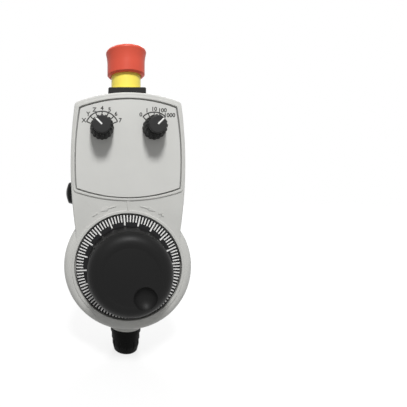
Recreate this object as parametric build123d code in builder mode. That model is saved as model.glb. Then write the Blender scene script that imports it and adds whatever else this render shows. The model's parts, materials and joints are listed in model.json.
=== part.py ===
from build123d import *

import os
from math import asin, cos, radians, sin, sqrt

# A pulse generator handwheel: the hand-held control of a machine tool, held to the machine by
# the magnet on its back. Millimetres. X runs across the front, Y from the front to the back,
# Z up. The origin is the centre of the magnet's outer face. Heights in the names below are
# measured up from the axis of the dial, and levels forward from the housing's front face.

# Housing
magnet_height = 52.0
magnet_proud = 4.5
housing_depth = 40.0
joint_depth = 13.0
wall = 2.8
draft = 2.0
waist_half = 41.0
waist_height = 28.0
belly_half = 44.7
belly_height = 78.0
shoulder_half = 41.4
shoulder_height = 126.9
crown_height = 134.9
shoulder_round = 4.0
bowl_radius = 50.2
bowl_drop = 0.5
body_front_round = 1.2
bowl_front_round = 6.0
body_back_round = 8.5
bowl_back_round = 12.0
least_round = 0.8

# Raised frame, panel field and dial collar on the front
field_top_margin = 3.9
field_top_drop = 4.0
field_crown_drop = 5.2
field_side_margin = 3.8
field_foot_margin = 4.4
field_foot_rise = 7.2
toe_gap = 9.2
field_round = 1.6
groove_width = 1.0
groove_depth = 0.8
frame_width = 1.6
frame_rise = 0.9
frame_edge_round = 0.4
foil_thickness = 0.5
collar_width = 2.2
recess_depth = 4.0
dial_gap = 1.0
pointer_width = 3.6
pointer_gap = 0.5
pointer_rise = 0.4

# Fasteners of the housing
screw_half_spacing = 31.0
top_screw_drop = 7.1
middle_screw_height = 33.5
bottom_screw_margin = 5.0
screw_shank = 4.0
screw_head = 7.0
screw_head_height = 2.8
pocket_diameter = 8.0
pocket_floor = 4.5
pocket_chamfer = 0.6
pillar_wall = 1.6
insert_diameter = 5.6
insert_length = 8.0
boss_wall = 1.5
fit = 0.03
hole_clearance = 0.2

# Seal between the shells
seal_inset = 0.9
seal_width = 1.0
seal_depth = 1.2

# Handwheel
dial_diameter = 80.4
dial_thickness = 2.4
dial_crest = 0.8
dial_fall = 1.2
drum_radius = 31.2
drum_height = 28.0
drum_taper = 0.6
drum_skirt = 20.0
drum_crown_radius = 20.0
drum_crown_drop = 1.5
drum_bulge = 0.72
drum_wall = 2.8
rim_ring_width = 2.0
rim_ring_height = 3.0
dimple_orbit = 18.0
dimple_angle = -56.0
dimple_radius = 9.5
dimple_lift = 4.9
dimple_wall = 2.0
dimple_lip = 0.8
hub_radius = 8.0
hub_flange_radius = 11.0
hub_flange = 0.8
hub_height = 9.0
hub_screw_diameter = 3.0
hub_screw_level = 5.0

# Encoder behind the dial
shaft_radius = 3.0
shaft_front = 11.5
shaft_back = 21.0
encoder_radius = 20.5
encoder_length = 15.2
encoder_wall = 1.8
encoder_plate = 2.5
spigot_radius = 7.0
spigot_length = 2.4
bush_radius = 5.0
bush_flange_radius = 6.2
bush_flange = 1.0
bush_length = 8.0
ring_groove = 0.5
ring_thickness = 0.7
ring_width = 2.3
ring_gap = 0.1
detent_teeth = 20
detent_radius = 12.0
detent_tooth = 1.2
detent_thickness = 2.0
detent_step = 0.4
stator_width = 4.4
air_gap = 0.6
disc_radius = 16.4
disc_thickness = 0.6
disc_step = 2.6
disc_slots = 20
disc_slot_length = 2.0
disc_spigot = 4.0
disc_flange = 6.0
disc_flange_length = 2.0
sensor_width = 7.0
sensor_arm = 1.2
sensor_gap = 0.6
cover_thickness = 1.5
socket_width = 14.0
socket_height = 6.0
socket_depth = 4.5
encoder_screw_orbit = 15.0
encoder_screw_diameter = 2.9
encoder_screw_head = 5.6

# Selector switches and their knobs
selector_half_spacing = 20.0
selector_drop = 23.0
switch_radius = 11.0
switch_length = 12.6
bushing_radius = 5.0
bushing_front = 5.2
washer_radius = 7.4
washer_thickness = 0.6
nut_width = 13.0
nut_thickness = 2.0
knob_radius = 9.2
knob_top_radius = 8.4
knob_height = 12.0
knob_lift = 0.5
knob_shoulder = 1.3
knob_hollow = 4.8
knob_hollow_radius = 7.85
knob_flutes = 16
flute_radius = 1.6
flute_depth = 0.45
cap_radius = 6.5
cap_height = 4.0
cap_round = 0.9
collet_radius = 4.6
collet_length = 6.5
selector_shaft_radius = 3.0
selector_shaft_length = 9.6

# Emergency stop
estop_depth = 22.0
seat_height = 131.0
seat_wall = 3.6
base_width = 30.0
base_height = 8.6
base_round = 1.5
base_chamfer = 0.6
gasket = 0.8
thread_radius = 8.0
thread_length = 14.0
sleeve_radius = 12.2
sleeve_wall = 2.0
sleeve_height = 17.0
sleeve_flange = 13.8
sleeve_flange_height = 1.2
head_radius = 16.8
head_waist = 15.6
head_lift = 12.8
head_height = 21.6
head_brim = 4.2
head_edge = 2.6
head_chamfer = 1.2
head_crown = 5.5
head_clearance = 0.6
stop_travel = 4.5
stem_radius = 4.0
spring_mean_radius = 8.2
spring_wire = 0.7
spring_coils = 5
stop_nut_width = 22.0
stop_nut_thickness = 3.0
block_radius = 8.0
block_length = 20.0

# Side bosses and the push button
boss_height = 55.5
boss_depth = 31.5
boss_face_half = 44.4
boss_radius = 12.7
boss_tip_half = 22.0
boss_edge = 0.8
boss_wall_thickness = 2.6
button_bezel_radius = 10.1
button_bezel_top = 8.6
button_bezel_height = 5.0
button_bezel_round = 0.7
button_bore = 6.9
button_cap_radius = 6.7
button_cap_height = 6.8
button_dome = 1.5
button_travel = 2.0
button_floor = 1.0
button_thread_radius = 6.0
button_thread_length = 16.0
button_stem = 2.6
button_nut_width = 14.0
button_nut_thickness = 2.8
button_switch_radius = 5.4
button_switch_length = 6.0

# Magnet
magnet_diameter = 32.0
magnet_seat = 1.0
magnet_skin = 1.0
magnet_boss = 6.0
magnet_boss_length = 4.0
magnet_screw_head = 7.0
magnet_screw_head_height = 2.4
magnet_screw_reach = 3.0

# Label recess
label_height = 96.0
label_recess_width = 48.0
label_recess_height = 23.0
label_recess_depth = 0.4

# Circuit board
board_width = 58.0
board_height = 48.0
board_thickness = 1.6
board_depth = 30.0
board_drop = 4.0
board_margin = 4.0
board_post = 3.0
board_screw = 2.2
board_screw_head = 2.2
board_screw_head_height = 1.5
terminal_width = 40.0
terminal_height = 6.5
terminal_depth = 8.0
terminal_ways = 8
terminal_mouth = 3.0
terminal_mouth_height = 3.2

# Neck and cable gland
neck_radius = 13.4
neck_reach = 6.8
neck_round = 1.8
gland_thread_radius = 8.0
gland_thread_length = 8.0
gland_bore = 6.5
gland_flange_radius = 12.7
gland_flange = 3.0
gland_body_radius = 11.8
gland_body_length = 6.0
gland_nut_radius = 11.2
gland_nut_tip = 9.9
gland_nut_edge = 0.8
gland_nut_length = 10.5
gland_nut_ribs = 12
gland_grip_length = 4.7
gland_flute_orbit = 12.2
gland_flute_middle = 2.1
gland_insert_length = 11.9
insert_bore = 3.5

# Share of a corner's radius that a quarter round takes off along each axis at its middle
corner_cut = 1 - sqrt(0.5)

# Places that follow from the sizes
front_y = -(magnet_proud + housing_depth)
joint_level = -joint_depth
back_level = -housing_depth
ceiling_height = seat_height - seat_wall
recess_radius = dial_diameter / 2 + dial_gap
neck_height = -(bowl_drop + bowl_radius + neck_reach)
field_top_half = shoulder_half - field_top_margin
field_top_height = shoulder_height - field_top_drop
field_crown_height = crown_height - field_crown_drop
field_toe_height = recess_radius + collar_width + toe_gap
field_foot_height = field_toe_height + field_foot_rise
field_foot_half = belly_half - field_foot_margin
field_side_half = belly_half - field_side_margin
field_side_height = (field_top_height + field_foot_height) / 2
selector_height = field_crown_height - selector_drop
top_screw_height = shoulder_height - top_screw_drop
bottom_screw_height = -bowl_drop - sqrt(
    (bowl_radius - bottom_screw_margin) ** 2 - screw_half_spacing**2
)


def up(height):
    """Z of a height that is measured from the dial's axis."""
    return height - magnet_height


front = Plane.XZ.offset(-front_y)
bowl_z = up(-bowl_drop)
screw_spots = [
    (side * screw_half_spacing, up(height))
    for height in (top_screw_height, middle_screw_height, bottom_screw_height)
    for side in (-1, 1)
]
selector_spots = {
    "axis": (-selector_half_spacing, up(selector_height)),
    "step": (selector_half_spacing, up(selector_height)),
}

os.makedirs("parts", exist_ok=True)


def level(height):
    """Plane that faces forward, so far before the housing's front face."""
    return front.offset(height)


def at(x, z, height=0.0):
    """Forward-facing plane with its origin at a place on the front."""
    return Plane(origin=(x, front_y - height, z), x_dir=(1, 0, 0), z_dir=(0, -1, 0))


def turn(plane, outline, mode=Mode.ADD):
    """Turn a closed outline of (radius, height) points about the plane's normal."""
    with BuildSketch(Plane(origin=plane.origin, x_dir=plane.x_dir, z_dir=-plane.y_dir)) as section:
        with BuildLine():
            Polyline(*outline, close=True)
        make_face()
    revolve(section.sketch, axis=Axis(plane.origin, plane.z_dir), mode=mode)


def ring(plane, inner, outer, low, high, mode=Mode.ADD):
    """Add or cut a plain ring between two heights over a plane."""
    turn(plane, [(inner, low), (outer, low), (outer, high), (inner, high)], mode)


def columns(spots, radius, low, high, mode=Mode.ADD):
    """Add or cut round columns along the depth, between two levels."""
    with BuildSketch(level(low)) as section:
        with Locations(*spots):
            Circle(radius)
    extrude(section.sketch, amount=high - low, mode=mode)


def hexagon(plane, width, low, high, bore):
    """Add a hexagon nut with a plain bore."""
    with BuildSketch(plane.offset(low)) as section:
        RegularPolygon(width / 2, 6, major_radius=False)
        Circle(bore, mode=Mode.SUBTRACT)
    extrude(section.sketch, amount=high - low)


def write(builder, name):
    """Label a finished piece and write its file."""
    builder.part.label = name
    export_step(builder.part, f"parts/{name}.step")


# Outlines of the housing, seen from the front
def body_outline(inset=0.0):
    """Upper body, from the bowl's centre to the arched top."""
    waist = (waist_half - inset, up(waist_height))
    belly = (belly_half - inset, up(belly_height))
    shoulder = (shoulder_half - inset, up(shoulder_height) - inset)
    crown = (0, up(crown_height) - inset)
    with BuildSketch() as outline:
        with BuildLine():
            ThreePointArc(waist, belly, shoulder)
            Line(waist, (waist[0], bowl_z))
            Line((waist[0], bowl_z), (0, bowl_z))
            mirror(about=Plane.YZ)
            ThreePointArc(shoulder, crown, (-shoulder[0], shoulder[1]))
        make_face()
        fillet(outline.vertices().group_by(Axis.Y)[-1], radius=shoulder_round)
    return outline.sketch


def joint_outline(inset):
    """Both forms together at the joint, notched for the emergency stop's seat."""
    seat_half = base_width / 2 + hole_clearance + inset
    with BuildSketch() as outline:
        add(body_outline(inset))
        with Locations((0, bowl_z)):
            Circle(bowl_radius - inset)
        with Locations((0, up(crown_height))):
            Rectangle(
                2 * seat_half, 2 * (crown_height - seat_height + inset), mode=Mode.SUBTRACT
            )
    return outline.sketch


def field_outline(grow=0.0):
    """The sunk field inside the raised frame, grown outwards or, if negative, inwards."""
    top = (field_top_half + grow, up(field_top_height) + grow)
    side = (field_side_half + grow, up(field_side_height))
    foot = (field_foot_half + grow, up(field_foot_height) - grow)
    with BuildSketch() as outline:
        with BuildLine():
            ThreePointArc(foot, side, top)
            mirror(about=Plane.YZ)
            ThreePointArc(top, (0, up(field_crown_height) + grow), (-top[0], top[1]))
            ThreePointArc(foot, (0, up(field_toe_height) - grow), (-foot[0], foot[1]))
        make_face()
        fillet(outline.vertices(), radius=field_round + grow)
    return outline.sketch


def housing_half(plane, length, body_round, bowl_round, inset=0.0):
    """One half of the housing's form, from the joint outwards, with its far edges rounded."""
    outward = Axis(plane.origin, plane.z_dir)
    with BuildPart() as body:
        with BuildSketch(plane):
            add(body_outline(inset))
        extrude(amount=length - inset, taper=draft)
        end = body.faces().sort_by(outward)[-1]
        fillet(end.edges(), radius=max(body_round - inset, least_round))
    with BuildPart() as bowl:
        with BuildSketch(plane):
            with Locations((0, bowl_z)):
                Circle(bowl_radius - inset)
        extrude(amount=length - inset, taper=draft)
        end = bowl.faces().sort_by(outward)[-1]
        fillet(end.edges(), radius=max(bowl_round - inset, least_round))
    with BuildPart() as half:
        add(body.part)
        add(bowl.part)
    return half.part


forward_joint = level(joint_level)
backward_joint = Plane(origin=(0, front_y + joint_depth, 0), x_dir=(-1, 0, 0), z_dir=(0, 1, 0))
rear_length = housing_depth - joint_depth

front_form = housing_half(forward_joint, joint_depth, body_front_round, bowl_front_round)
rear_form = housing_half(backward_joint, rear_length, body_back_round, bowl_back_round)

with BuildPart() as front_cavity:
    add(housing_half(forward_joint, joint_depth, body_front_round, bowl_front_round, wall))
    split(bisect_by=Plane.XY.offset(up(ceiling_height)), keep=Keep.BOTTOM)

with BuildPart() as rear_cavity:
    add(housing_half(backward_joint, rear_length, body_back_round, bowl_back_round, wall))
    split(bisect_by=Plane.XY.offset(up(ceiling_height)), keep=Keep.BOTTOM)

# Places on the housing that several pieces share
estop_y = front_y + estop_depth
estop_plane = Plane(origin=(0, estop_y, up(seat_height)), x_dir=(1, 0, 0), z_dir=(0, 0, 1))
boss_y = front_y + boss_depth
boss_z = up(boss_height)
neck_depth = (joint_depth + housing_depth) / 2
neck_z = up(neck_height)
gland_plane = Plane(
    origin=(0, front_y + neck_depth, neck_z), x_dir=(1, 0, 0), z_dir=(0, 0, -1)
)
dial_plane = at(0, up(0))
floor_level = -recess_depth
floor_back = floor_level - wall
encoder_screw_spots = [
    (encoder_screw_orbit * cos(radians(angle)), up(0) + encoder_screw_orbit * sin(radians(angle)))
    for angle in (90, 210, 330)
]

# Seat of the emergency stop, cut through both shells
with BuildPart() as seat_cut:
    with BuildSketch(estop_plane):
        Rectangle(base_width + 2 * hole_clearance, base_width + 2 * hole_clearance)
    extrude(amount=2 * base_height)

# Columns that take the threaded inserts, kept inside the front shell's form
with BuildPart() as front_bosses:
    columns(screw_spots, insert_diameter / 2 + boss_wall, joint_level, 0)
    add(front_form, mode=Mode.INTERSECT)

# Raised frame round the panel and raised collar round the dial, each with soft edges
with BuildPart() as raised_frame:
    with BuildSketch(level(0)):
        add(field_outline(frame_width))
        add(field_outline(), mode=Mode.SUBTRACT)
    extrude(amount=frame_rise)
    fillet(raised_frame.faces().sort_by(Axis.Y)[0].edges(), radius=frame_edge_round)

with BuildPart() as raised_collar:
    ring(dial_plane, recess_radius, recess_radius + collar_width, 0, frame_rise)
    fillet(raised_collar.faces().sort_by(Axis.Y)[0].edges(), radius=frame_edge_round)

# Front shell: raised frame and collar, and the recess for the dial
with BuildPart() as front_shell:
    add(front_form)
    add(front_cavity.part, mode=Mode.SUBTRACT)
    add(front_bosses.part)
    columns([(0, up(0))], recess_radius + wall, floor_back, -wall)
    add(raised_frame.part)
    add(raised_collar.part)
    columns([(0, up(0))], recess_radius, floor_level, frame_rise, mode=Mode.SUBTRACT)
    with BuildSketch(level(0)):
        add(field_outline())
        add(field_outline(-groove_width), mode=Mode.SUBTRACT)
    extrude(amount=-groove_depth, mode=Mode.SUBTRACT)
    with BuildSketch(level(0)):
        pointer_tip = up(recess_radius + collar_width + pointer_gap)
        pointer_top = up(field_toe_height - frame_width / 2)
        with BuildLine():
            Polyline(
                (0, pointer_tip),
                (pointer_width / 2, pointer_top),
                (-pointer_width / 2, pointer_top),
                close=True,
            )
        make_face()
    extrude(amount=pointer_rise)
    columns([(0, up(0))], spigot_radius + hole_clearance, floor_back, floor_level, Mode.SUBTRACT)
    columns(encoder_screw_spots, encoder_screw_diameter / 2 + fit, floor_back, floor_level, Mode.SUBTRACT)
    for x, z in encoder_screw_spots:
        head = encoder_screw_head / 2 + fit
        stem = encoder_screw_diameter / 2 + fit
        turn(
            at(x, z, floor_level),
            [(0, 0), (head, 0), (stem, stem - head), (0, stem - head)],
            Mode.SUBTRACT,
        )
    columns(selector_spots.values(), bushing_radius + hole_clearance, -wall, 0, Mode.SUBTRACT)
    columns(
        screw_spots, insert_diameter / 2, joint_level, joint_level + insert_length, Mode.SUBTRACT
    )
    with BuildSketch(forward_joint):
        add(joint_outline(seal_inset))
        add(joint_outline(seal_inset + seal_width), mode=Mode.SUBTRACT)
    extrude(amount=seal_depth, mode=Mode.SUBTRACT)
    add(seat_cut.part, mode=Mode.SUBTRACT)
write(front_shell, "front_shell")

# Seal in the groove of the front shell
with BuildPart() as housing_seal:
    with BuildSketch(forward_joint):
        add(joint_outline(seal_inset))
        add(joint_outline(seal_inset + seal_width), mode=Mode.SUBTRACT)
    extrude(amount=seal_depth)
write(housing_seal, "housing_seal")

# Side bosses: cones that grow out of the rounded back edge towards a flat round face
boss_slope = (boss_radius - (housing_depth - boss_depth)) / (boss_face_half - boss_tip_half)


def boss_cone(side, shrink, reach):
    """A boss's cone about the X axis, from inside the housing out to its flat face."""
    start = boss_tip_half / 2
    plane = Plane(origin=(0, boss_y, boss_z), x_dir=(0, 0, 1), z_dir=(side, 0, 0))

    def radius(distance):
        return boss_radius - boss_slope * (boss_face_half - distance) - shrink

    with BuildPart() as cone:
        turn(
            plane,
            [
                (0, start),
                (radius(start), start),
                (radius(reach - boss_edge), reach - boss_edge),
                (radius(reach) - boss_edge, reach),
                (0, reach),
            ],
        )
    return cone.part


rear_pillar = pocket_diameter / 2 + pillar_wall
pocket_level = joint_level - pocket_floor

with BuildPart() as rear_outer:
    add(rear_form)
    for side in (-1, 1):
        add(boss_cone(side, 0, boss_face_half))
    turn(
        gland_plane,
        [
            (0, -bowl_radius / 2),
            (neck_radius, -bowl_radius / 2),
            (neck_radius, -neck_round),
            (neck_radius - neck_round * corner_cut, -neck_round * corner_cut),
            (neck_radius - neck_round, 0),
            (0, 0),
        ],
    )

with BuildPart() as rear_inner:
    add(rear_cavity.part)
    for side in (-1, 1):
        add(boss_cone(side, boss_wall_thickness, boss_face_half - boss_wall_thickness))

# Pillars under the screw pockets, kept inside the rear shell's form
with BuildPart() as rear_pillars:
    columns(screw_spots, rear_pillar, back_level, joint_level)
    add(rear_form, mode=Mode.INTERSECT)

board_back = board_depth + board_thickness
board_z = up(-board_drop)
board_spots = [
    (x * (board_width / 2 - board_margin), board_z + z * (board_height / 2 - board_margin))
    for x in (-1, 1)
    for z in (-1, 1)
]
inner_back = back_level + wall
label_z = up(label_height)

with BuildPart() as rear_shell:
    add(rear_outer.part)
    add(rear_inner.part, mode=Mode.SUBTRACT)
    add(rear_pillars.part)
    columns([(0, 0)], magnet_boss, inner_back, inner_back + magnet_boss_length)
    columns(board_spots, board_post, inner_back, -board_back)
    columns(screw_spots, pocket_diameter / 2, back_level, pocket_level, Mode.SUBTRACT)
    columns(screw_spots, screw_shank / 2 + hole_clearance, pocket_level, joint_level, Mode.SUBTRACT)
    # The lowest two pockets run out into the rounded edge and have no chamfer
    for x, z in screw_spots[:4]:
        mouth = pocket_diameter / 2
        turn(
            at(x, z, back_level),
            [(0, 0), (mouth + pocket_chamfer, 0), (mouth, pocket_chamfer), (0, pocket_chamfer)],
            Mode.SUBTRACT,
        )
    columns(
        [(0, 0)],
        (magnet_diameter + hole_clearance) / 2,
        back_level,
        back_level + magnet_seat,
        Mode.SUBTRACT,
    )
    columns(
        [(0, 0)],
        screw_shank / 2 + hole_clearance,
        back_level + magnet_seat,
        inner_back + magnet_boss_length,
        Mode.SUBTRACT,
    )
    columns(board_spots, board_screw / 2, inner_back, -board_back, Mode.SUBTRACT)
    ring(gland_plane, 0, gland_thread_radius + fit, -2 * gland_thread_length, 0, Mode.SUBTRACT)
    with BuildSketch(level(back_level)):
        with Locations((0, label_z)):
            Rectangle(label_recess_width, label_recess_height)
    extrude(amount=label_recess_depth, mode=Mode.SUBTRACT)
    button_hole = Plane(origin=(-boss_face_half, boss_y, boss_z), x_dir=(0, 0, 1), z_dir=(-1, 0, 0))
    ring(button_hole, 0, button_thread_radius + hole_clearance, -2 * boss_wall_thickness, 0, Mode.SUBTRACT)
    add(seat_cut.part, mode=Mode.SUBTRACT)
    ring(estop_plane, 0, thread_radius + hole_clearance, -2 * seat_wall, 0, Mode.SUBTRACT)
write(rear_shell, "rear_shell")

# Six screws from the back into threaded inserts in the front shell
with BuildPart() as housing_screws:
    columns(screw_spots, screw_shank / 2, pocket_level, joint_level + insert_length - hole_clearance)
    columns(screw_spots, screw_head / 2, pocket_level - screw_head_height, pocket_level)
    for x, z in screw_spots:
        with BuildSketch(at(x, z, pocket_level - screw_head_height)):
            RegularPolygon(screw_shank / 4, 6)
        extrude(amount=screw_head_height / 2, mode=Mode.SUBTRACT)
write(housing_screws, "housing_screws")

with BuildPart() as screw_inserts:
    columns(screw_spots, insert_diameter / 2, joint_level, joint_level + insert_length)
    columns(
        screw_spots, screw_shank / 2 + fit, joint_level, joint_level + insert_length, Mode.SUBTRACT
    )
write(screw_inserts, "screw_inserts")

# Printed foil inside the raised frame
with BuildPart() as front_panel:
    with BuildSketch(level(0)):
        add(field_outline(-groove_width))
        with Locations(*selector_spots.values()):
            Circle(bushing_radius + hole_clearance, mode=Mode.SUBTRACT)
    extrude(amount=foil_thickness)
write(front_panel, "front_panel")

# Dial ring: a flat hub plate with a rim that falls slightly outwards
dial_radius = dial_diameter / 2
drum_bore = drum_radius - drum_wall
with BuildPart() as dial_ring:
    turn(
        dial_plane,
        [
            (hub_radius, dial_crest - dial_thickness),
            (dial_radius, dial_crest - dial_thickness),
            (dial_radius, dial_crest - dial_fall),
            (drum_radius, dial_crest),
            (hub_radius, dial_crest),
        ],
    )
    spigot = drum_bore - drum_taper
    ring(dial_plane, spigot - rim_ring_width, spigot, dial_crest, dial_crest + rim_ring_height)
write(dial_ring, "dial_ring")


def drum_section(inset):
    """Half section of the drum: a low skirt, a full round shoulder and a gently domed crown."""
    skirt_top = drum_radius - drum_taper
    foot = (drum_radius - inset, dial_crest)
    skirt = (skirt_top - inset, drum_skirt)
    crown = (drum_crown_radius - inset / 2, drum_height - drum_crown_drop - inset)
    peak = (0, drum_height - inset)
    shoulder = (
        crown[0] + (skirt[0] - crown[0]) * drum_bulge,
        skirt[1] + (crown[1] - skirt[1]) * drum_bulge,
    )
    middle = (crown[0] / 2, peak[1] - (peak[1] - crown[1]) / 4)
    with BuildSketch(Plane(origin=dial_plane.origin, x_dir=(1, 0, 0), z_dir=(0, 0, -1))) as section:
        with BuildLine():
            Line((0, dial_crest), foot)
            Line(foot, skirt)
            ThreePointArc(skirt, shoulder, crown)
            ThreePointArc(crown, middle, peak)
            Line(peak, (0, dial_crest))
        make_face()
    return section.sketch


dimple_x = dimple_orbit * cos(radians(dimple_angle))
dimple_z = dimple_orbit * sin(radians(dimple_angle))
dimple_level = drum_height - drum_crown_drop + dimple_lift
dial_axis = Axis(dial_plane.origin, dial_plane.z_dir)

with BuildPart() as drum_cavity:
    revolve(drum_section(drum_wall), axis=dial_axis)
    with Locations((dimple_x, front_y - dimple_level, up(0) + dimple_z)):
        Sphere(dimple_radius + dimple_wall, mode=Mode.SUBTRACT)
    ring(dial_plane, 0, hub_radius + drum_wall, dial_crest, drum_height, Mode.SUBTRACT)

# Drum: the domed grip over the dial, with a finger dimple near its edge
with BuildPart() as wheel_drum:
    revolve(drum_section(0), axis=dial_axis)
    add(drum_cavity.part, mode=Mode.SUBTRACT)
    ring(
        dial_plane, 0, hub_radius + fit, dial_crest, shaft_front + hole_clearance, Mode.SUBTRACT
    )
    with Locations((dimple_x, front_y - dimple_level, up(0) + dimple_z)):
        Sphere(dimple_radius, mode=Mode.SUBTRACT)
write(wheel_drum, "wheel_drum")

# Hub between the dial and the shaft, with two radial screws
hub_base = dial_crest - dial_thickness
with BuildPart() as wheel_hub:
    ring(dial_plane, shaft_radius, hub_radius, hub_base, hub_height)
    ring(dial_plane, shaft_radius, hub_flange_radius, hub_base - hub_flange, hub_base)
    for direction in ((1, 0, 0), (0, 0, 1)):
        screw_plane = Plane(
            origin=(0, front_y - hub_screw_level, up(0)), x_dir=(0, 1, 0), z_dir=direction
        )
        ring(screw_plane, 0, hub_screw_diameter / 2, 0, hub_radius, Mode.SUBTRACT)
write(wheel_hub, "wheel_hub")

with BuildPart() as hub_screws:
    for direction in ((1, 0, 0), (0, 0, 1)):
        screw_plane = Plane(
            origin=(0, front_y - hub_screw_level, up(0)), x_dir=(0, 1, 0), z_dir=direction
        )
        outer = hub_radius - hole_clearance
        ring(screw_plane, 0, hub_screw_diameter / 2 - fit, shaft_radius, outer)
write(hub_screws, "hub_screws")

# Encoder: levels of what is stacked inside its housing, from the front backwards
encoder_back = floor_back - encoder_length
plate_back = floor_back - encoder_plate
bush_front = floor_level
bush_back = bush_front - bush_length
ring_front = bush_back - ring_gap
rotor_front = ring_front - ring_thickness - detent_step
rotor_back = rotor_front - detent_thickness
disc_front = rotor_back - disc_step
disc_back = disc_front - disc_thickness

with BuildPart() as encoder_shaft:
    ring(dial_plane, 0, shaft_radius, -shaft_back, shaft_front)
    ring(
        dial_plane,
        shaft_radius - ring_groove,
        shaft_radius + ring_groove,
        ring_front - ring_thickness,
        ring_front,
        Mode.SUBTRACT,
    )
write(encoder_shaft, "encoder_shaft")

with BuildPart() as shaft_bush:
    ring(dial_plane, shaft_radius + fit, bush_radius, bush_back, bush_front)
    ring(dial_plane, shaft_radius + fit, bush_flange_radius, plate_back - bush_flange, plate_back)
write(shaft_bush, "shaft_bush")

with BuildPart() as shaft_ring:
    groove_radius = shaft_radius - ring_groove
    ring(
        dial_plane, groove_radius, groove_radius + ring_width, ring_front - ring_thickness, ring_front
    )
    with BuildSketch(at(0, up(0), ring_front)):
        with Locations((0, -shaft_radius)):
            Rectangle(shaft_radius, 2 * shaft_radius)
    extrude(amount=-ring_thickness, mode=Mode.SUBTRACT)
write(shaft_ring, "shaft_ring")

with BuildPart() as encoder_housing:
    ring(dial_plane, 0, encoder_radius, encoder_back, floor_back)
    ring(dial_plane, 0, spigot_radius, floor_back, floor_back + spigot_length)
    ring(dial_plane, 0, encoder_radius - encoder_wall, encoder_back, plate_back, Mode.SUBTRACT)
    ring(dial_plane, 0, bush_radius, plate_back, floor_back + spigot_length, Mode.SUBTRACT)
    columns(encoder_screw_spots, encoder_screw_diameter / 2 + fit, plate_back, floor_back, Mode.SUBTRACT)
write(encoder_housing, "encoder_housing")

with BuildPart() as encoder_screws:
    columns(encoder_screw_spots, encoder_screw_diameter / 2, plate_back, floor_level)
    for x, z in encoder_screw_spots:
        head = encoder_screw_head / 2
        stem = encoder_screw_diameter / 2
        turn(at(x, z, floor_level), [(0, 0), (head, 0), (stem, stem - head), (0, stem - head)])
write(encoder_screws, "encoder_screws")

# Magnetic detent: a toothed rotor inside a toothed ring, with an air gap between them
with BuildPart() as detent_rotor:
    with BuildSketch(at(0, up(0), rotor_back)):
        Circle(detent_radius - detent_tooth)
        with PolarLocations(detent_radius - detent_tooth, detent_teeth):
            Rectangle(2 * detent_tooth, detent_tooth)
        Circle(shaft_radius, mode=Mode.SUBTRACT)
    extrude(amount=detent_thickness)
write(detent_rotor, "detent_rotor")

stator_bore = detent_radius + air_gap
with BuildPart() as detent_stator:
    with BuildSketch(at(0, up(0), rotor_back)):
        Circle(encoder_radius - encoder_wall)
        Circle(stator_bore + detent_tooth, mode=Mode.SUBTRACT)
        with PolarLocations(stator_bore + detent_tooth, detent_teeth):
            Rectangle(2 * detent_tooth, detent_tooth)
    extrude(amount=detent_thickness)
    ring(
        dial_plane,
        stator_bore + stator_width,
        encoder_radius,
        rotor_back,
        rotor_front,
        Mode.SUBTRACT,
    )
write(detent_stator, "detent_stator")

with BuildPart() as code_disc:
    with BuildSketch(at(0, up(0), disc_back)):
        Circle(disc_radius)
        Circle(disc_spigot, mode=Mode.SUBTRACT)
        with PolarLocations(disc_radius - disc_slot_length, disc_slots):
            Rectangle(disc_slot_length, disc_thickness, mode=Mode.SUBTRACT)
    extrude(amount=disc_thickness)
write(code_disc, "code_disc")

with BuildPart() as disc_hub:
    ring(dial_plane, shaft_radius, disc_spigot, disc_back, disc_front)
    ring(dial_plane, shaft_radius, disc_flange, disc_back - disc_flange_length, disc_back)
write(disc_hub, "disc_hub")

# Light sensor: a fork that reaches over the edge of the code disc
with BuildPart() as light_sensor:
    arm_front = disc_front + sensor_gap + sensor_arm
    sensor_foot = disc_radius - 2 * disc_slot_length
    sensor_top = encoder_radius - encoder_wall - 2 * hole_clearance
    with BuildSketch(at(0, up(0), encoder_back)):
        with Locations((0, (sensor_foot + sensor_top) / 2)):
            Rectangle(sensor_width, sensor_top - sensor_foot)
    extrude(amount=arm_front - encoder_back)
    ring(
        dial_plane, 0, disc_radius + sensor_gap, disc_back - sensor_gap, disc_front + sensor_gap,
        Mode.SUBTRACT,
    )
    ring(
        dial_plane, encoder_radius - encoder_wall - fit, encoder_radius, encoder_back, arm_front,
        Mode.SUBTRACT,
    )
write(light_sensor, "light_sensor")

with BuildPart() as encoder_cover:
    ring(dial_plane, 0, encoder_radius, encoder_back - cover_thickness, encoder_back)
write(encoder_cover, "encoder_cover")

with BuildPart() as encoder_socket:
    socket_front = encoder_back - cover_thickness
    with BuildSketch(at(0, up(0), socket_front - socket_depth)):
        Rectangle(socket_width, socket_height)
    extrude(amount=socket_depth)
    with BuildSketch(at(0, up(0), socket_front - socket_depth)):
        Rectangle(socket_width - encoder_wall, socket_height - encoder_wall)
    extrude(amount=socket_depth - encoder_wall, mode=Mode.SUBTRACT)
write(encoder_socket, "encoder_socket")

# The two rotary switches and their knobs are the same but for their place
washer_front = foil_thickness + washer_thickness
nut_front = washer_front + nut_thickness
knob_foot = foil_thickness + knob_lift
shoulder_level = knob_foot + knob_height
cap_level = shoulder_level + knob_shoulder
hollow_level = knob_foot + knob_hollow
shaft_end = hollow_level + selector_shaft_length - knob_shoulder

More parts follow.
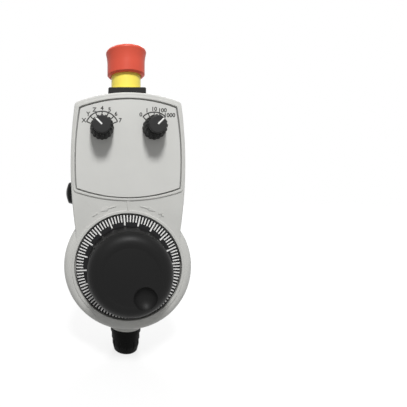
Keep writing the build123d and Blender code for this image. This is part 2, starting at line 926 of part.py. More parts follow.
for knob_name, (knob_x, knob_z) in selector_spots.items():
    spot = at(knob_x, knob_z)

    with BuildPart() as switch_body:
        ring(spot, 0, switch_radius, -wall - switch_length, -wall)
        ring(spot, 0, bushing_radius, -wall, bushing_front)
        ring(spot, 0, selector_shaft_radius + fit, -wall - switch_length / 2, bushing_front, Mode.SUBTRACT)
    write(switch_body, f"{knob_name}_switch_body")

    with BuildPart() as switch_washer:
        ring(spot, bushing_radius + fit, washer_radius, foil_thickness, washer_front)
    write(switch_washer, f"{knob_name}_switch_washer")

    with BuildPart() as switch_nut:
        hexagon(spot, nut_width, washer_front, nut_front, bushing_radius + fit)
    write(switch_nut, f"{knob_name}_switch_nut")

    with BuildPart() as switch_shaft:
        ring(spot, 0, selector_shaft_radius, -wall - switch_length / 2 + hole_clearance, shaft_end)
    write(switch_shaft, f"{knob_name}_switch_shaft")

    with BuildPart(spot) as knob_body:
        turn(
            spot,
            [
                (0, knob_foot),
                (knob_radius, knob_foot),
                (knob_top_radius, shoulder_level),
                (knob_top_radius - knob_shoulder, cap_level),
                (0, cap_level),
            ],
        )
        lean = Vector(knob_height, knob_top_radius - knob_radius).get_angle(Vector(1, 0))
        middle_radius = (knob_radius + knob_top_radius) / 2
        with Locations((0, 0, (knob_foot + cap_level) / 2)):
            with PolarLocations(middle_radius - flute_depth + flute_radius, knob_flutes):
                Cylinder(flute_radius, 2 * knob_height, rotation=(0, -lean, 0), mode=Mode.SUBTRACT)
        ring(spot, 0, knob_hollow_radius, knob_foot, hollow_level, Mode.SUBTRACT)
        ring(spot, 0, collet_radius, hollow_level, cap_level, Mode.SUBTRACT)
    write(knob_body, f"{knob_name}_knob_body")

    with BuildPart() as knob_collet:
        ring(spot, selector_shaft_radius, collet_radius, cap_level - collet_length, cap_level)
    write(knob_collet, f"{knob_name}_knob_collet")

    with BuildPart() as knob_cap:
        ring(spot, 0, cap_radius, cap_level, cap_level + cap_height)
        fillet(knob_cap.faces().sort_by(Axis.Y)[0].edges(), radius=cap_round)
    write(knob_cap, f"{knob_name}_knob_cap")

# Emergency stop, with heights over its seat
base_low = gasket
base_top = gasket + base_height
with BuildPart() as estop_seal:
    with BuildSketch(estop_plane):
        Rectangle(base_width - 2 * base_chamfer, base_width - 2 * base_chamfer)
        Circle(thread_radius + hole_clearance, mode=Mode.SUBTRACT)
    extrude(amount=gasket)
write(estop_seal, "estop_seal")

with BuildPart() as estop_base:
    with BuildSketch(estop_plane.offset(base_low)):
        RectangleRounded(base_width, base_width, base_round)
    extrude(amount=base_height)
    chamfer(estop_base.faces().sort_by(Axis.Z)[-1].edges(), length=base_chamfer)
    ring(estop_plane, 0, thread_radius, -thread_length, base_low)
    ring(estop_plane, 0, stem_radius + fit, -thread_length, base_top, Mode.SUBTRACT)
write(estop_base, "estop_base")

with BuildPart() as estop_sleeve:
    ring(estop_plane, 0, sleeve_radius, base_top, base_top + sleeve_height)
    ring(estop_plane, 0, sleeve_flange, base_top, base_top + sleeve_flange_height)
    ring(
        estop_plane, 0, sleeve_radius - sleeve_wall, base_top + sleeve_flange_height,
        base_top + sleeve_height, Mode.SUBTRACT,
    )
    ring(estop_plane, 0, stem_radius + fit, base_top, base_top + sleeve_height, Mode.SUBTRACT)
write(estop_sleeve, "estop_sleeve")

head_low = base_top + head_lift
head_top = head_low + head_height
brim_low = head_top - head_edge - head_brim
head_bore = sleeve_radius + head_clearance
with BuildPart() as estop_head:
    with BuildSketch(Plane(origin=estop_plane.origin, x_dir=(1, 0, 0), z_dir=(0, -1, 0))):
        with BuildLine():
            Line((0, head_low), (head_waist - head_chamfer, head_low))
            Line((head_waist - head_chamfer, head_low), (head_waist, head_low + head_chamfer))
            Line((head_waist, head_low + head_chamfer), (head_waist, brim_low - head_brim))
            ThreePointArc(
                (head_waist, brim_low - head_brim),
                (head_waist + (head_radius - head_waist) * corner_cut, brim_low),
                (head_radius, head_top - head_edge),
            )
            ThreePointArc(
                (head_radius, head_top - head_edge),
                (head_radius - head_edge * corner_cut, head_top - head_edge * corner_cut),
                (head_radius - head_edge, head_top),
            )
            Line((head_radius - head_edge, head_top), (0, head_top))
            Line((0, head_top), (0, head_low))
        make_face()
    revolve(axis=Axis(estop_plane.origin, estop_plane.z_dir))
    ring(estop_plane, stem_radius + sleeve_wall, head_bore, head_low, head_top - head_crown, Mode.SUBTRACT)
    ring(estop_plane, 0, stem_radius + fit, head_low, head_top - head_crown, Mode.SUBTRACT)
    ring(estop_plane, 0, head_bore, head_low, base_top + sleeve_height + head_clearance, Mode.SUBTRACT)
write(estop_head, "estop_head")

stem_low = -thread_length - stop_travel
with BuildPart() as estop_stem:
    ring(estop_plane, 0, stem_radius, stem_low, head_top - head_crown - hole_clearance)
write(estop_stem, "estop_stem")

spring_low = base_top + sleeve_flange_height + hole_clearance
spring_length = head_top - head_crown - hole_clearance - spring_low
with BuildPart() as estop_spring:
    with BuildLine() as coil:
        Helix(
            pitch=(spring_length - 2 * spring_wire) / spring_coils,
            height=spring_length - 2 * spring_wire,
            radius=spring_mean_radius,
            center=(0, estop_y, estop_plane.origin.Z + spring_low + spring_wire),
        )
    with BuildSketch(Plane(origin=coil.line @ 0, z_dir=coil.line % 0)):
        RegularPolygon(spring_wire, 6)
    sweep(path=coil.line, is_frenet=True)
write(estop_spring, "estop_spring")

with BuildPart() as estop_nut:
    hexagon(
        estop_plane, stop_nut_width, -seat_wall - stop_nut_thickness, -seat_wall, thread_radius + fit
    )
write(estop_nut, "estop_nut")

with BuildPart() as estop_contact_block:
    ring(estop_plane, 0, block_radius, -thread_length - block_length, -thread_length)
    ring(
        estop_plane, 0, stem_radius + hole_clearance,
        stem_low - stop_travel - head_clearance, -thread_length, Mode.SUBTRACT,
    )
write(estop_contact_block, "estop_contact_block")

# Push button on the left boss, with heights over the boss's face
button_plane = Plane(origin=(-boss_face_half, boss_y, boss_z), x_dir=(0, 0, 1), z_dir=(-1, 0, 0))
with BuildPart() as button_bezel:
    turn(
        button_plane,
        [
            (0, 0),
            (button_bezel_radius, 0),
            (button_bezel_top + button_bezel_round / 2, button_bezel_height - button_bezel_round),
            (button_bezel_top - button_bezel_round, button_bezel_height),
            (0, button_bezel_height),
        ],
    )
    ring(button_plane, 0, button_thread_radius, -button_thread_length, 0)
    ring(
        button_plane, 0, button_bore, button_floor, button_bezel_height, Mode.SUBTRACT
    )
    ring(button_plane, 0, button_stem + fit, -button_thread_length, button_bezel_height, Mode.SUBTRACT)
write(button_bezel, "button_bezel")

with BuildPart() as button_cap:
    cap_low = button_floor + button_travel + hole_clearance
    cap_rim = button_cap_height - button_dome
    dome_radius = (button_cap_radius**2 + button_dome**2) / (2 * button_dome)
    dome_half = asin(button_cap_radius / dome_radius) / 2
    with BuildSketch(Plane(origin=button_plane.origin, x_dir=(0, 0, 1), z_dir=(0, -1, 0))):
        with BuildLine():
            Polyline(
                (0, button_cap_height),
                (0, -button_thread_length),
                (button_stem, -button_thread_length),
                (button_stem, cap_low),
                (button_cap_radius, cap_low),
                (button_cap_radius, cap_rim),
            )
            ThreePointArc(
                (button_cap_radius, cap_rim),
                (dome_radius * sin(dome_half), button_cap_height - dome_radius * (1 - cos(dome_half))),
                (0, button_cap_height),
            )
        make_face()
    revolve(axis=Axis(button_plane.origin, button_plane.z_dir))
write(button_cap, "button_cap")

with BuildPart() as button_nut:
    hexagon(
        button_plane,
        button_nut_width,
        -boss_wall_thickness - button_nut_thickness,
        -boss_wall_thickness,
        button_thread_radius + fit,
    )
write(button_nut, "button_nut")

with BuildPart() as button_switch:
    switch_front = -button_thread_length
    ring(button_plane, 0, button_switch_radius, switch_front - button_switch_length, switch_front)
    ring(
        button_plane, 0, button_stem + hole_clearance, switch_front - button_travel - head_clearance, switch_front,
        Mode.SUBTRACT,
    )
write(button_switch, "button_switch")

# Holding magnet: a steel-backed core under a black cover
magnet_low = back_level + magnet_seat
magnet_face = -(housing_depth + magnet_proud)
core_face = magnet_face + magnet_skin
with BuildPart() as magnet_core:
    columns([(0, 0)], magnet_diameter / 2 - magnet_skin, core_face, magnet_low)
    columns([(0, 0)], screw_shank / 2, magnet_low - magnet_screw_reach, magnet_low, Mode.SUBTRACT)
write(magnet_core, "magnet_core")

with BuildPart() as magnet_cover:
    columns([(0, 0)], magnet_diameter / 2, magnet_face, magnet_low)
    fillet(magnet_cover.faces().sort_by(Axis.Y)[-1].edges(), radius=magnet_skin / 2)
    columns([(0, 0)], magnet_diameter / 2 - magnet_skin, core_face, magnet_low, Mode.SUBTRACT)
write(magnet_cover, "magnet_cover")

with BuildPart() as magnet_screw:
    screw_seat = inner_back + magnet_boss_length
    columns([(0, 0)], screw_shank / 2 - fit, magnet_low - magnet_screw_reach + hole_clearance, screw_seat)
    columns([(0, 0)], magnet_screw_head / 2, screw_seat, screw_seat + magnet_screw_head_height)
write(magnet_screw, "magnet_screw")

# Circuit board on four posts of the rear shell
with BuildPart() as circuit_board:
    with BuildSketch(level(-board_back)):
        with Locations((0, board_z)):
            Rectangle(board_width, board_height)
        with Locations(*board_spots):
            Circle(board_screw / 2 + hole_clearance, mode=Mode.SUBTRACT)
    extrude(amount=board_thickness)
write(circuit_board, "circuit_board")

with BuildPart() as board_screws:
    columns(board_spots, board_screw / 2, -board_back - board_post, -board_depth)
    columns(board_spots, board_screw_head, -board_depth, -board_depth + board_screw_head_height)
write(board_screws, "board_screws")

with BuildPart() as terminal_block:
    terminal_z = board_z - board_height / 2 + terminal_height / 2
    with BuildSketch(level(-board_depth)):
        with Locations((0, terminal_z)):
            Rectangle(terminal_width, terminal_height)
    extrude(amount=terminal_depth)
    pitch = terminal_width / terminal_ways
    with BuildSketch(level(-board_depth + terminal_depth)):
        with Locations((0, terminal_z)):
            with GridLocations(pitch, 1, terminal_ways, 1):
                Rectangle(terminal_mouth, terminal_mouth_height)
    extrude(amount=-terminal_depth / 2, mode=Mode.SUBTRACT)
write(terminal_block, "terminal_block")

# Cable gland, with heights down from the end of the neck
with BuildPart() as gland_body:
    ring(gland_plane, 0, gland_thread_radius, -gland_thread_length, 0)
    ring(gland_plane, 0, gland_flange_radius, 0, gland_flange)
    ring(gland_plane, 0, gland_body_radius, gland_flange, gland_flange + gland_body_length)
    ring(
        gland_plane, 0, gland_bore, -gland_thread_length, gland_flange + gland_body_length,
        Mode.SUBTRACT,
    )
write(gland_body, "gland_body")

nut_low = gland_flange + gland_body_length
nut_end = nut_low + gland_nut_length
with BuildPart(gland_plane) as gland_nut:
    turn(
        gland_plane,
        [
            (0, nut_low),
            (gland_nut_radius, nut_low),
            (gland_nut_radius, nut_low + gland_grip_length),
            (gland_nut_tip, nut_end - gland_nut_edge),
            (gland_nut_tip - gland_nut_edge, nut_end),
            (0, nut_end),
        ],
    )
    with PolarLocations(gland_flute_orbit, gland_nut_ribs):
        with Locations((0, 0, nut_low + gland_flute_middle)):
            Cylinder(flute_radius, gland_nut_length, mode=Mode.SUBTRACT)
    ring(gland_plane, 0, gland_bore, nut_low, nut_end, Mode.SUBTRACT)
write(gland_nut, "gland_nut")

with BuildPart() as gland_insert:
    insert_end = nut_low + gland_insert_length - gland_body_length / 2
    ring(gland_plane, insert_bore, gland_bore, insert_end - gland_insert_length, insert_end)
write(gland_insert, "gland_insert")
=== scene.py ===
# %% [markdown]
# # A hand-held pulse generator handwheel
#
# The object is a machine tool's hand control: an emergency stop on top, a panel with
# two selector knobs, a large dial wheel and a cable gland below. Its solids come from
# the CAD frame, at their real size in metres, with Z up and the back's magnet at the
# origin. They could be modelled again here, but they are exact already. So this script
# gives them their finishes, adds the printed and moulded detail that is too fine for
# solids, and sets the studio round them.

import json
from math import cos, pi, radians, sin

import bmesh
import bpy
from mathutils import Matrix, Vector


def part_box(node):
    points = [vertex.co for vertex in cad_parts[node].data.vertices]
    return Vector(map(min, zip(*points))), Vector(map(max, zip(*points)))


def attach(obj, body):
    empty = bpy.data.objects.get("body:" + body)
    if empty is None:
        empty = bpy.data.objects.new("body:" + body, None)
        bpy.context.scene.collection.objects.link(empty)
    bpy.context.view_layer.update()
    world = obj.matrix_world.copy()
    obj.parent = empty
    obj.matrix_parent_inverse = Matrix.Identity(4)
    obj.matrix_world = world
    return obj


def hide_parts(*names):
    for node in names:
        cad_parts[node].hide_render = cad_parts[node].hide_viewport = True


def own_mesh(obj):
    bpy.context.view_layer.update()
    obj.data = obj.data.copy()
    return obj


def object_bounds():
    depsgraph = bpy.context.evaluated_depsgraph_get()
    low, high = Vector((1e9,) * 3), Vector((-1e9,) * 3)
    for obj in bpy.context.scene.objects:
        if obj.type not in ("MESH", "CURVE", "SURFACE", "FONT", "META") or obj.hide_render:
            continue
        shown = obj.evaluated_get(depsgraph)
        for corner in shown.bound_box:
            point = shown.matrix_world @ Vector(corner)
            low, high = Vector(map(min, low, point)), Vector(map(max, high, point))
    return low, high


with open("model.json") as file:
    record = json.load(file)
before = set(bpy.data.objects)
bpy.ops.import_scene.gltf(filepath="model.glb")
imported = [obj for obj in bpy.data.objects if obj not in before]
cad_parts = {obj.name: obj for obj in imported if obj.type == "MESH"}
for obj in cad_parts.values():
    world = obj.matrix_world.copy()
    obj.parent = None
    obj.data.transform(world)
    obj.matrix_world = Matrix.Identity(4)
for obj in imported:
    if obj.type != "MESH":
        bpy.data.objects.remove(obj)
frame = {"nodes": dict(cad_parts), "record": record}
solids = frame["nodes"]
size_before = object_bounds()
millimetre = 0.001
print("pieces loaded:", len(solids))
print("lowest corner:", [round(v, 4) for v in size_before[0]])
print("highest corner:", [round(v, 4) for v in size_before[1]])

# %% [markdown]
# ## A short way to write materials
#
# A material is a sum worked out by nodes. Each node could be made and linked by hand,
# but then the sum is lost among the links. So `Wire` is one value on its way through
# the nodes, and it knows plus, minus, times and divide. A bump can be written as
# `grain * 0.6 + speckle`, and a mask turned round as `1 - mask`.

# %% Wires
class Wire:
    """A value on its way through the nodes."""

    def __init__(self, graph, socket):
        self.graph = graph
        self.socket = socket

    def math(self, operation, *others):
        values = dict(enumerate((self, *others)))
        return self.graph.node("ShaderNodeMath", {"operation": operation}, values)

    def reflected(self, operation, other):
        values = {0: other, 1: self}
        return self.graph.node("ShaderNodeMath", {"operation": operation}, values)

    def __add__(self, other):
        return self.math("ADD", other)

    def __sub__(self, other):
        return self.math("SUBTRACT", other)

    def __mul__(self, other):
        return self.math("MULTIPLY", other)

    def __truediv__(self, other):
        return self.math("DIVIDE", other)

    def __radd__(self, other):
        return self.reflected("ADD", other)

    def __rsub__(self, other):
        return self.reflected("SUBTRACT", other)

    def __rmul__(self, other):
        return self.reflected("MULTIPLY", other)

    def __rtruediv__(self, other):
        return self.reflected("DIVIDE", other)


print("a wire's operators: + - * /, from either side")

# %% [markdown]
# Every other node comes from one method. It takes a node's type, its settings and what
# goes into its sockets, and gives back the output that is asked for as a wire. `Graph`
# does this in any tree of nodes, and `Finish` in the tree of a new material, where it
# also knows noise, blends of colours, bumps and the shader at the end.

# %% Graphs and finishes
class Graph:
    """The nodes of one material, or of the world."""

    def __init__(self, tree):
        self.tree = tree
        tree.nodes.clear()

    def node(self, kind, settings=None, values=None, output=0):
        made = self.tree.nodes.new(kind)
        for key, value in (settings or {}).items():
            setattr(made, key, value)
        for key, value in (values or {}).items():
            if isinstance(value, Wire):
                self.tree.links.new(value.socket, made.inputs[key])
            else:
                made.inputs[key].default_value = value
        return Wire(self, made.outputs[output])

    def ramp(self, value, low, high, to_low=0.0, to_high=1.0):
        """The value's range from low to high, stretched onto another range."""
        values = {"Value": value, "From Min": low, "From Max": high}
        values.update({"To Min": to_low, "To Max": to_high})
        return self.node("ShaderNodeMapRange", None, values)

    def end(self, kind, shader):
        out = self.tree.nodes.new(kind)
        self.tree.links.new(shader.socket, out.inputs["Surface"])


class Finish(Graph):
    """One material, built node by node."""

    def __init__(self, name):
        self.material = bpy.data.materials.new(name)
        self.material.use_nodes = True
        super().__init__(self.material.node_tree)

    def place(self):
        """Where a point lies on the object, in metres, riding with its body."""
        return self.node("ShaderNodeTexCoord", output="Object")

    def noise(self, scale, detail=2.0, rough=0.5):
        values = {"Vector": self.place(), "Scale": scale}
        values.update({"Detail": detail, "Roughness": rough})
        return self.node("ShaderNodeTexNoise", None, values)

    def blend(self, amount, first, second):
        """A colour between two others."""
        values = {0: amount, 6: first, 7: second}
        return self.node("ShaderNodeMix", {"data_type": "RGBA"}, values, 2)

    def bump(self, height, depth):
        """The slopes of a height, where a height of one is so many metres."""
        return self.node("ShaderNodeBump", None, {"Height": height, "Distance": depth})

    def cover(self, shader):
        self.end("ShaderNodeOutputMaterial", shader)
        return self.material

    def surface(self, values):
        return self.cover(self.node("ShaderNodeBsdfPrincipled", None, values))


def shade(colour, factor):
    """A colour made lighter or darker."""
    return [min(1.0, channel * factor) for channel in colour] + [1.0]


# Most of a noise lies in the first range, and most of two noises' sum in the second.
noise_low, noise_high = 0.3, 0.7
sum_low, sum_high = 0.7, 1.3
print("half of a red:", shade((0.7, 0.1, 0.06), 0.5))

# %% [markdown]
# ## Moulded plastics
#
# Most of the real object is injection-moulded. The mould's spark-eroded skin leaves a
# grain of a few tenths of a millimetre, which lifts the surface by microns, and the
# colour drifts a little over centimetres. An image texture could show that, but it
# needs unwrapped surfaces and has one size. Noise at the object's own scale fits every
# piece, so each plastic is the same sum with other numbers. Glossy parts have little
# grain and a soft waviness instead.
#
# Where the two shells meet, a fine dark line runs round the sides. A groove in the mesh
# would have to follow both shells, so the line is a stripe in the material, at its
# distance along the depth.

# %% What a moulded plastic is
cloud_scale = 60.0
wave_scale = 120.0
grain_under_waves = 0.3
rough_swing = 0.06
plain_shine = 0.5
seam_core = 0.1 * millimetre
seam_edge = 0.2 * millimetre
seam_shade = 0.25


def moulded(
    name, colour, rough, grain_mm, depth_mm, drift, wave_mm=0.0, gloss=0.0,
    shine=plain_shine, seam=None,
):
    """A plastic from its grain's width and depth and the drift of its colour."""
    finish = Finish(name)
    clouds = finish.noise(cloud_scale, 3.0)
    grain = finish.noise(1 / (grain_mm * millimetre), 2.0, 0.6)
    height = grain
    if wave_mm:
        waves = finish.noise(wave_scale, 1.0) * (wave_mm / depth_mm)
        height = grain * grain_under_waves + waves
    tone = finish.ramp(clouds * 0.75 + grain * 0.25, noise_low, noise_high)
    colours = finish.blend(tone, shade(colour, 1 - drift), shade(colour, 1 + drift))
    if seam is not None:
        depth = finish.node("ShaderNodeSeparateXYZ", None, {0: finish.place()}, "Y")
        beside = finish.ramp((depth - seam).math("ABSOLUTE"), seam_core, seam_edge)
        colours = finish.blend(beside, shade(colour, seam_shade), colours)
        height = height + beside
    smooth, dull = rough - rough_swing, rough + rough_swing
    values = {
        "Base Color": colours,
        "Roughness": finish.ramp(grain + clouds, sum_low, sum_high, smooth, dull),
        "Normal": finish.bump(height, depth_mm * millimetre),
        "Coat Weight": gloss,
        "Coat Roughness": 0.08,
        "Specular IOR Level": shine,
    }
    return finish.surface(values)


print("a colour drifts over about", round(1000 / cloud_scale), "mm")

# %% [markdown]
# The tables give each plastic its numbers. The greys, the red and the yellow were found
# by comparing renders with the photograph. The real black parts look almost black
# although they stand in a white room, so they mirror little: their shine is well under
# what a polished plastic has.

# %% The plastics
seam_ahead = 0.25 * millimetre  # in front of the joint, so it keeps off the neck
shell_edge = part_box("front_shell")[1].y - seam_ahead
# Columns: colour, roughness, the grain's width and depth in mm, the colour's drift.
plastics = {
    "housing_plastic": ((0.60, 0.60, 0.575), 0.42, 0.28, 0.020, 0.04),
    "panel_foil": ((0.64, 0.64, 0.615), 0.50, 0.16, 0.006, 0.02),
    "dial_plate": ((0.016, 0.016, 0.017), 0.42, 0.12, 0.006, 0.06),
    "wheel_plastic": ((0.006, 0.006, 0.006), 0.50, 0.20, 0.008, 0.08),
    "knob_plastic": ((0.013, 0.013, 0.013), 0.45, 0.15, 0.008, 0.06),
    "cap_plastic": ((0.032, 0.032, 0.032), 0.36, 0.12, 0.005, 0.06),
    "stop_red": ((0.70, 0.10, 0.06), 0.38, 0.12, 0.004, 0.03),
    "stop_yellow": ((1.0, 0.83, 0.13), 0.38, 0.12, 0.004, 0.03),
    "stop_black": ((0.022, 0.022, 0.022), 0.42, 0.20, 0.010, 0.06),
    "button_plastic": ((0.006, 0.006, 0.006), 0.24, 0.10, 0.003, 0.05),
    "gland_plastic": ((0.006, 0.006, 0.006), 0.50, 0.20, 0.012, 0.06),
    "seal_rubber": ((0.02, 0.02, 0.02), 0.70, 0.15, 0.010, 0.10),
    "magnet_rubber": ((0.026, 0.026, 0.027), 0.55, 0.25, 0.012, 0.08),
    "inner_plastic": ((0.03, 0.03, 0.032), 0.45, 0.20, 0.010, 0.06),
    "board_laminate": ((0.02, 0.14, 0.06), 0.35, 0.40, 0.004, 0.10),
    "terminal_green": ((0.04, 0.25, 0.09), 0.40, 0.20, 0.006, 0.05),
    "magnet_ferrite": ((0.03, 0.03, 0.032), 0.50, 0.10, 0.010, 0.10),
}
shines = {
    "housing_plastic": 0.25,
    "panel_foil": 0.25,
    "dial_plate": 0.12,
    "wheel_plastic": 0.18,
    "knob_plastic": 0.14,
    "cap_plastic": 0.14,
    "stop_red": 0.16,
    "stop_yellow": 0.25,
    "stop_black": 0.12,
    "button_plastic": 0.1,
    "gland_plastic": 0.06,
    "magnet_rubber": 0.14,
}
extras = {
    "housing_plastic": {"seam": shell_edge},
    "stop_red": {"wave_mm": 0.01, "gloss": 0.02},
    "stop_yellow": {"wave_mm": 0.01, "gloss": 0.04},
    "button_plastic": {"wave_mm": 0.01, "gloss": 0.03},
}
finishes = {}
for name, row in plastics.items():
    shine = shines.get(name, plain_shine)
    finishes[name] = moulded(name, *row, shine=shine, **extras.get(name, {}))
print("plastics made:", len(finishes))

# %% [markdown]
# ## Metals
#
# Screws, shafts, nuts and springs are bare metal. Lines that follow each turned form
# would show the tool's path, but at the size of these pieces they blur into an even
# grain. So fine noise varies the colour, the roughness and the height together.

# %% The metals and the solids' slots
metal_grain = 0.1 * millimetre
metal_bump = 0.02 * millimetre


def metal(name, colour, rough):
    """Bare metal with a fine uneven grain."""
    finish = Finish(name)
    grain = finish.noise(1 / metal_grain, 3.0, 0.7)
    smooth, dull = rough - 0.08, rough + 0.1
    values = {
        "Base Color": finish.blend(grain, shade(colour, 0.85), shade(colour, 1.1)),
        "Metallic": 1.0,
        "Roughness": finish.ramp(grain, noise_low, noise_high, smooth, dull),
        "Normal": finish.bump(grain, metal_bump),
    }
    return finish.surface(values)


# Columns: colour, roughness.
metals = {
    "magnet_steel": ((0.55, 0.55, 0.56), 0.35),
    "steel": ((0.6, 0.6, 0.61), 0.3),
    "brass": ((0.78, 0.58, 0.26), 0.3),
    "aluminium": ((0.7, 0.7, 0.71), 0.35),
}
for name, row in metals.items():
    finishes[name] = metal(name, *row)
slot_of = {row["node"]: row["material_slot"] for row in frame["record"]["subparts"]}
for name, solid in solids.items():
    solid.data.materials.clear()
    solid.data.materials.append(finishes[slot_of[name]])
print("finishes made:", len(finishes))

# %% [markdown]
# ## The return spring
#
# The emergency stop's return spring stands on the yellow sleeve and gets shorter when
# the head is pushed in. A solid can only ride along, and would be cut by the head. So a
# copy of its mesh stands for it, with a mesh of its own, riding with the housing while
# the solid is hidden.

# %% Return spring
spring = bpy.data.objects.new("return_spring", solids["estop_spring"].data.copy())
bpy.context.scene.collection.objects.link(spring)
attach(spring, "housing")
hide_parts("estop_spring")
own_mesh(spring)

# %% [markdown]
# ## Ink
#
# The dial's divisions, the scales and the knobs' lines are printed on the real object.
# They could be painted by a mask in the material, but a mask has soft edges close up
# and is lost when the model is used without its nodes. So each print is a skin a few
# hundredths of a millimetre thick with a finish of its own, and a fine speckle for the
# ink.

# %% Ink
ink_scale = 6000.0
ink_rough = 0.45
ink_bump = 0.004 * millimetre


def ink(name, colour):
    finish = Finish(name)
    speckle = finish.noise(ink_scale, 2.0)
    smooth, dull = ink_rough - 0.08, ink_rough + 0.08
    values = {
        "Base Color": finish.blend(speckle, shade(colour, 0.9), shade(colour, 1.06)),
        "Roughness": finish.ramp(speckle, noise_low, noise_high, smooth, dull),
        "Normal": finish.bump(speckle, ink_bump),
    }
    return finish.surface(values)


white_ink = ink("white_ink", (0.86, 0.86, 0.84))
grey_ink = ink("grey_ink", (0.022, 0.022, 0.02))
print("inks:", white_ink.name, grey_ink.name)

# %% [markdown]
# One function turns points and faces into a piece that rides with its body. Another
# lays flat outlines, given as corners in space, as closed slabs before the face that
# they are printed on, so that one mesh holds all the marks of a dial. The short ones
# after them find the middle of a solid, a point round it and the corners of a bar.

# %% Meshes and slabs
def add_mesh(name, points, faces, material, body):
    mesh = bpy.data.meshes.new(name)
    mesh.from_pydata(points, [], faces)
    shell = bmesh.new()
    shell.from_mesh(mesh)
    bmesh.ops.recalc_face_normals(shell, faces=shell.faces)
    shell.to_mesh(mesh)
    shell.free()
    mesh.materials.append(material)
    piece = bpy.data.objects.new(name, mesh)
    bpy.context.scene.collection.objects.link(piece)
    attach(piece, body)
    return piece


def slabs(name, outlines, thickness, material, body):
    """Closed slabs on outlines of (x, y, z) corners, forward, or back if negative."""
    points, faces = [], []
    for outline in outlines:
        start, count = len(points), len(outline)
        points += [tuple(p) for p in outline]
        points += [(p[0], p[1] - thickness, p[2]) for p in outline]
        faces.append([start + i for i in reversed(range(count))])
        faces.append([start + count + i for i in range(count)])
        for i in range(count):
            j = (i + 1) % count
            faces.append([start + i, start + j, start + count + j, start + count + i])
    return add_mesh(name, points, faces, material, body)


def centre_of(node):
    """The middle of a node seen from the front, as (x, z)."""
    low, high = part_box(node)
    return ((low.x + high.x) / 2, (low.z + high.z) / 2)


def polar(centre, radius, degrees):
    """A point round a centre, with degrees clockwise from the top."""
    turn = radians(degrees)
    return (centre[0] + radius * sin(turn), centre[1] + radius * cos(turn))


def bar(start, end, width):
    """Corners of a bar between two (x, z) points."""
    run = Vector((end[0] - start[0], end[1] - start[1])).normalized()
    side = Vector((-run.y, run.x)) * width / 2
    return [
        (start[0] + side.x, start[1] + side.y),
        (start[0] - side.x, start[1] - side.y),
        (end[0] - side.x, end[1] - side.y),
        (end[0] + side.x, end[1] + side.y),
    ]


frame_rise = 0.9 * millimetre  # the panel's frame stands so far before the front face
front_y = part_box("front_shell")[0].y + frame_rise
dial_centre = centre_of("dial_ring")
print("the front face lies at", round(front_y * 1000, 2), "mm")

# %% [markdown]
# ### The dial's hundred divisions
#
# The real dial has a hundred white marks round its rim, every fifth one longer and
# wider. One mark could be copied round by an array, but the rim falls away outwards
# like a flat cone. So a loop works out each mark, and its corners take the height of
# the rim below them.

# %% Dial divisions
divisions = 100
first_division = -4.4  # degrees from the top
short_width, short_length = 0.9 * millimetre, 5.3 * millimetre
long_width, long_length = 1.05 * millimetre, 7.8 * millimetre
rim_margin = 0.35 * millimetre
rim_crest, rim_edge = -0.8 * millimetre, 0.4 * millimetre
print_skin = 0.04 * millimetre
dial_low, dial_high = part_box("dial_ring")
dial_radius = (dial_high.x - dial_low.x) / 2
drum_low, drum_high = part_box("wheel_drum")
rim_inner = (drum_high.x - drum_low.x) / 2


def rim_y(radius):
    share = (radius - rim_inner) / (dial_radius - rim_inner)
    return front_y + rim_crest + (rim_edge - rim_crest) * max(0.0, share)


marks = []
for number in range(divisions):
    turn = radians(360 / divisions * number + first_division)
    is_long = number % 5 == 0
    width = long_width if is_long else short_width
    outer = dial_radius - rim_margin
    inner = outer - (long_length if is_long else short_length)
    across = Vector((cos(turn), -sin(turn))) * width / 2
    along = Vector((sin(turn), cos(turn)))
    corners = []
    for radius, side in ((inner, 1), (outer, 1), (outer, -1), (inner, -1)):
        spot = along * radius + across * side
        x, z = dial_centre[0] + spot.x, dial_centre[1] + spot.y
        corners.append((x, rim_y(radius), z))
    marks.append(corners)
slabs("dial_divisions", marks, print_skin, white_ink, "handwheel")
print("dial divisions:", len(marks))

# %% [markdown]
# ### The panel's scales
#
# Each selector has a printed arc with ticks towards the knob and a label past each
# tick. A curve with a bevel would give a round wire, and the print is flat. So the arc
# is a row of short slabs, and the labels are text objects turned into meshes, which
# carry over to any program.

# %% Arcs and ticks
panel_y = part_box("front_panel")[0].y
arc_width = 0.95 * millimetre
arc_steps = 48
tick_width = 0.85 * arc_width
scale_skin = 0.03 * millimetre


def scale(name, centre, angles, radius, tick):
    half = arc_width / 2
    first, last = angles[0], angles[-1]
    outlines = []
    for i in range(arc_steps):
        a = first + (last - first) * i / arc_steps
        b = first + (last - first) * (i + 1) / arc_steps
        inner, outer = radius - half, radius + half
        corners = ((inner, a), (outer, a), (outer, b), (inner, b))
        outlines.append([polar(centre, distance, turn) for distance, turn in corners])
    for angle in angles:
        start, end = polar(centre, radius - tick, angle), polar(centre, radius, angle)
        outlines.append(bar(start, end, tick_width))
    flat = [[(x, panel_y, z) for x, z in outline] for outline in outlines]
    slabs(f"{name}_scale", flat, scale_skin, grey_ink, "housing")


print("an arc's width:", round(arc_width * 1000, 2), "mm in", arc_steps, "slabs")

# %% Labels
label_size = 4.4 * millimetre
label_weight = 0.14 * millimetre
label_skin = 0.015 * millimetre
# Each figure past two moves a label so far out and so many degrees on.
long_shift, long_turn = 0.4 * millimetre, 2.8


